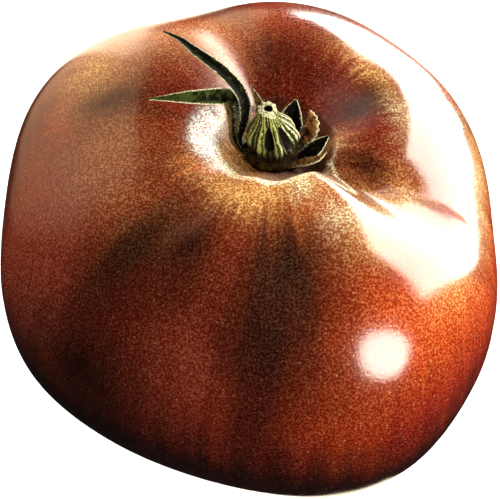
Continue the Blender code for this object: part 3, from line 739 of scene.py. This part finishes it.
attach(stub, "root")
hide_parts("pedicel")

# The stage: the fruit rests on white paper in a dark studio. A tall softbox lights it from the
# right, a small round lamp from the front right, and a warm reflector fills the left side.
CAMERA_ELEVATION, CAMERA_DISTANCE, LENS = 51, 0.400, 144.2
AIM = Vector((0.854, -0.709, 35.46)) * MM
camera = bpy.data.objects.new("camera", bpy.data.cameras.new("camera"))
bpy.context.scene.collection.objects.link(camera)
tilt = math.radians(CAMERA_ELEVATION)
back = Vector((0, -math.cos(tilt), math.sin(tilt)))
camera.location = AIM + back * CAMERA_DISTANCE
camera.rotation_euler = (math.pi / 2 - tilt, 0, 0)
camera.data.lens = LENS
camera.data.sensor_width = 36
camera.data.clip_start = 0.01
bpy.context.scene.camera = camera
bpy.context.scene.view_settings.view_transform = "Standard"

world = bpy.data.worlds.new("dark studio")
world.use_nodes = True
world.node_tree.nodes["Background"].inputs[0].default_value = (0.01, 0.01, 0.01, 1)
bpy.context.scene.world = world


def lamp(name, azimuth, elevation, distance, width, height, radiance, colour, roll=0,
         shift=(0, 0), diffuse=True, glossy=True, shape="RECTANGLE"):
    """A soft sheet of light that faces the part, shifted in its own plane. Azimuth is from +X."""
    az, el = math.radians(azimuth), math.radians(elevation)
    toward = Vector((math.cos(az) * math.cos(el), math.sin(az) * math.cos(el), math.sin(el)))
    light = bpy.data.lights.new(name, "AREA")
    light.shape, light.size, light.size_y = shape, width, height
    light.energy = radiance * math.pi * width * height
    light.color = colour
    lamp_object = bpy.data.objects.new(name, light)
    bpy.context.scene.collection.objects.link(lamp_object)
    across = Vector((0, 0, 1)).cross(toward).normalized()
    upward = toward.cross(across)
    turned = math.radians(roll)
    first = across * math.cos(turned) + upward * math.sin(turned)
    second = upward * math.cos(turned) - across * math.sin(turned)
    lamp_object.rotation_euler = Matrix((first, second, toward)).transposed().to_euler()
    lamp_object.location = (Vector((0, 0, 0.05)) + toward * distance
                            + first * shift[0] + second * shift[1])
    lamp_object.visible_camera = False
    lamp_object.visible_diffuse = diffuse
    lamp_object.visible_glossy = glossy
    return lamp_object


# the softbox, with a corner flagged off: left edge, then from where to where up it
SOFTBOX_RIGHT = 0.6
for left, low, high in [(-0.62, -0.6, 1.275), (-0.46, -0.9, -0.6), (-0.3, -1.275, -0.9)]:
    lamp("softbox", 42.2, 13.8, 1.2, SOFTBOX_RIGHT - left, high - low, 20, (1, 0.96, 0.85), 45.7,
         ((SOFTBOX_RIGHT + left) / 2, (low + high) / 2), diffuse=False)
lamp("softbox glow", 42.2, 13.8, 1.2, 1.38, 2.55, 13, (1, 0.95, 0.88), 45.7, glossy=False)
lamp("small", -55.2, 15.3, 1.2, 0.88, 0.66, 20, (1, 0.96, 0.85), -40, (0, 0.03), False,
     shape="ELLIPSE")
lamp("small glow", -55.2, 15.3, 1.2, 0.72, 0.72, 14, (1, 0.95, 0.9), glossy=False)
lamp("back strip", 100.8, -34, 1.2, 0.25, 2.6, 2.5, (1, 0.85, 0.6), -15)
# one sheet over the other, so that the reflection has soft edges but for its right one
for step in range(5):
    lamp(f"reflector {step}", 131, 9.5, 1.2 + step * 0.015, 2.36 - step * 0.22,
         1.32 - step * 0.12, 0.33, (1, 0.6, 0.34), 50, (0.17 - step * 0.11, step * 0.06 - 0.09),
         diffuse=False)
lamp("left fill", 131, 18, 1.2, 1.26, 0.92, 3.7, (1, 0.85, 0.75), 50, glossy=False)

floor_mesh = bpy.data.meshes.new("floor")
floor_mesh.from_pydata([(-6, -6, 0), (6, -6, 0), (6, 6, 0), (-6, 6, 0)], [], [(0, 1, 2, 3)])
floor = bpy.data.objects.new("floor", floor_mesh)
bpy.context.scene.collection.objects.link(floor)
paper = bpy.data.materials.new("floor")
paper.use_nodes = True
shader = paper.node_tree.nodes["Principled BSDF"]
for socket, value in [("Base Color", (0.9, 0.9, 0.9, 1)), ("Roughness", 1),
                      ("Specular IOR Level", 0), ("Emission Color", (1, 1, 1, 1)),
                      ("Emission Strength", 0.85)]:
    shader.inputs[socket].default_value = value
floor_mesh.materials.append(paper)
floor.visible_diffuse = False
floor.visible_glossy = False
floor.visible_shadow = False
floor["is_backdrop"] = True

low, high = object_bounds()
